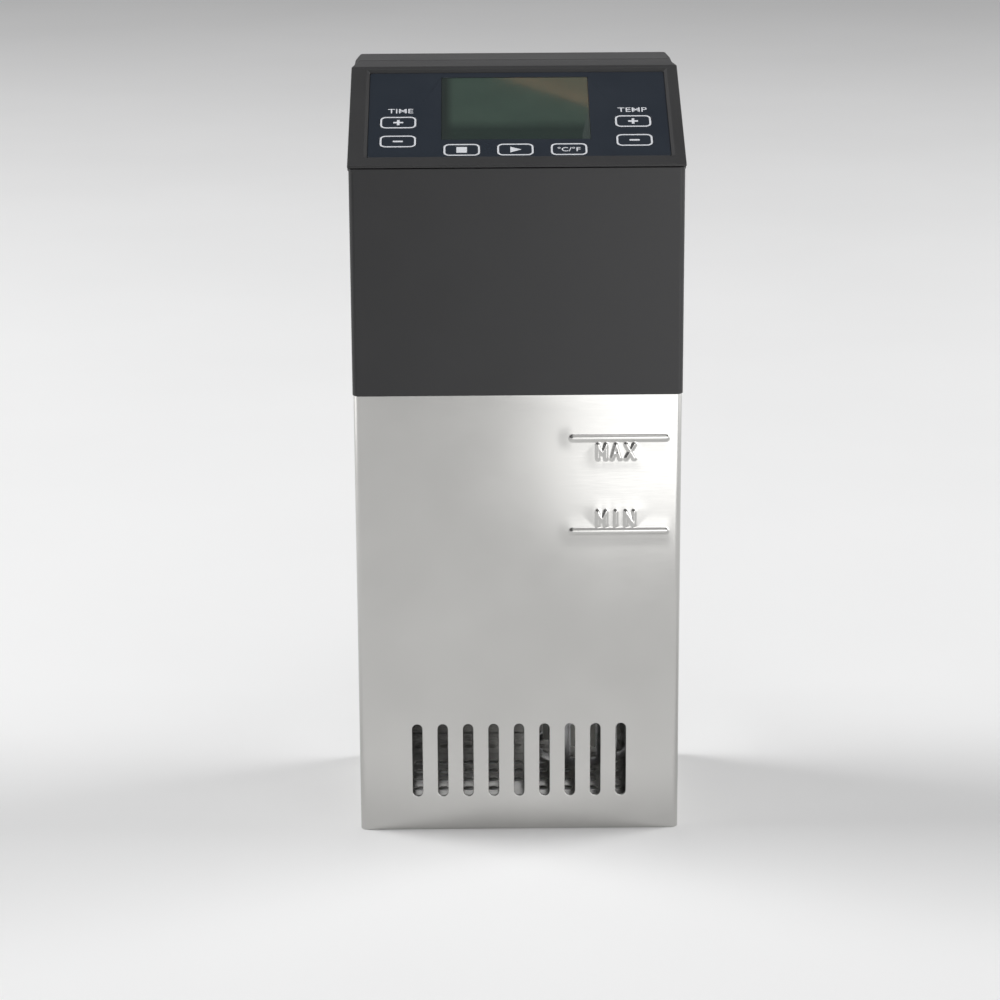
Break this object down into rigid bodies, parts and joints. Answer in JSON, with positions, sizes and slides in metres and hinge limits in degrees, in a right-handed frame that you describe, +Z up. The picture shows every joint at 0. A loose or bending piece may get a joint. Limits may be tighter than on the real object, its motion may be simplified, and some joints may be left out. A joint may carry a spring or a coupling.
{
  "type": "sous vide circulator",
  "caption": "Boxy immersion water circulator with a sloped key panel and display, a rectangular steel skirt over its heater and pump, and a screw clamp for a pot rim.",
  "frame": {"origin": "middle of the flat bottom face of the steel skirt, on which the unit stands", "axes": "+X to the right seen from the control panel's side, +Y to the back, towards the rim clamp, +Z up"},
  "size_m": [0.1268, 0.1527, 0.2936],
  "materials": {
    "head_plastic": "fine moulded texture, satin",
    "body_plastic": "fine moulded texture, satin",
    "film": "glossy polyester overlay with printed legends",
    "window": "clear glossy window",
    "lcd": "grey-green unlit display",
    "skirt_steel": "fine satin grain",
    "steel_part": "ground",
    "steel_screw": "turned",
    "laminated_steel": "laminated",
    "aluminium_part": "die cast",
    "brass_part": "turned",
    "silicone": "matt silicone",
    "rubber_face": "matt rubber",
    "black_plastic": "moulded",
    "white_plastic": "moulded",
    "yellow_plastic": "moulded",
    "green_plastic": "moulded",
    "circuit_board": "solder mask",
    "capacitor_sleeve": "shrunk sleeve",
    "fuse_glass": "glass tube with metal caps",
    "ribbon": "flat cable",
    "clamp_paint": "satin powder coat"
  },
  "bodies": {
    "root": {"head_cover": "head_plastic", "front_housing": "body_plastic", "rear_cover": "body_plastic", "housing_floor": "black_plastic", "floor_seal": "silicone", "housing_screws": "steel_screw", "panel_film": "film", "lcd_window": "window", "lcd_module": "lcd", "control_board": "circuit_board", "tact_switches": "black_plastic", "buzzer": "black_plastic", "power_board": "circuit_board", "transformer": "laminated_steel", "smoothing_capacitor": "capacitor_sleeve", "filter_capacitor": "yellow_plastic", "triac": "black_plastic", "heat_sink": "aluminium_part", "fuse": "fuse_glass", "terminal_block": "green_plastic", "ribbon_cable": "ribbon", "internal_screws": "steel_screw", "motor_housing": "aluminium_part", "motor_cap": "aluminium_part", "motor_stator": "laminated_steel", "motor_bearings": "steel_part", "shaft_seal": "silicone", "shaft_tube": "steel_part", "shaft_bush": "brass_part", "impeller_guard": "steel_part", "heating_element": "steel_part", "heater_fittings": "brass_part", "thermal_cutoff": "white_plastic", "temperature_probe": "steel_part", "level_probes": "steel_part", "probe_fittings": "brass_part", "steel_skirt": "skirt_steel", "skirt_base": "skirt_steel", "skirt_screws": "steel_screw", "clamp_bracket": "clamp_paint", "clamp_bolts": "steel_screw", "clamp_nut": "steel_screw", "cord_gland": "black_plastic"},
    "rotor": {"motor_rotor": "laminated_steel", "motor_shaft": "steel_part", "cooling_fan": "black_plastic", "shaft_coupling": "brass_part", "pump_shaft": "steel_part", "impeller": "white_plastic"},
    "pad": {"pressure_pad": "aluminium_part", "pad_face": "rubber_face"},
    "screw": {"clamp_screw": "steel_part", "clamp_knob": "black_plastic"},
    "key_time_plus": {"key_time_plus": "film"},
    "key_time_minus": {"key_time_minus": "film"},
    "key_stop": {"key_stop": "film"},
    "key_start": {"key_start": "film"},
    "key_unit": {"key_unit": "film"},
    "key_temp_plus": {"key_temp_plus": "film"},
    "key_temp_minus": {"key_temp_minus": "film"}
  },
  "joints": [
    {"name": "rotor_spin", "type": "hinge", "parent": "root", "child": "rotor", "pos_m": [0.026, 0, 0.1], "axis": [0, 0, 1], "continuous": true},
    {"name": "pad_slide", "type": "slide", "parent": "root", "child": "pad", "axis": [0, 1, 0], "range_m": [-0.012, 0.008]},
    {"name": "screw_turn", "type": "hinge", "parent": "pad", "child": "screw", "pos_m": [0, 0.09, 0.15], "axis": [0, 1, 0], "range_deg": [-1730, 1154]},
    {"name": "key_time_plus_press", "type": "slide", "parent": "root", "child": "key_time_plus", "axis": [0, 0.4051, -0.9143], "range_m": [0, 0.0004], "stiffness_N_per_m": 500},
    {"name": "key_time_minus_press", "type": "slide", "parent": "root", "child": "key_time_minus", "axis": [0, 0.4051, -0.9143], "range_m": [0, 0.0004], "stiffness_N_per_m": 500},
    {"name": "key_stop_press", "type": "slide", "parent": "root", "child": "key_stop", "axis": [0, 0.4051, -0.9143], "range_m": [0, 0.0004], "stiffness_N_per_m": 500},
    {"name": "key_start_press", "type": "slide", "parent": "root", "child": "key_start", "axis": [0, 0.4051, -0.9143], "range_m": [0, 0.0004], "stiffness_N_per_m": 500},
    {"name": "key_unit_press", "type": "slide", "parent": "root", "child": "key_unit", "axis": [0, 0.4051, -0.9143], "range_m": [0, 0.0004], "stiffness_N_per_m": 500},
    {"name": "key_temp_plus_press", "type": "slide", "parent": "root", "child": "key_temp_plus", "axis": [0, 0.4051, -0.9143], "range_m": [0, 0.0004], "stiffness_N_per_m": 500},
    {"name": "key_temp_minus_press", "type": "slide", "parent": "root", "child": "key_temp_minus", "axis": [0, 0.4051, -0.9143], "range_m": [0, 0.0004], "stiffness_N_per_m": 500}
  ],
  "couplings": [
    {"joint": "screw_turn", "follows": "pad_slide", "rad_per_m": 2513.3}
  ]
}
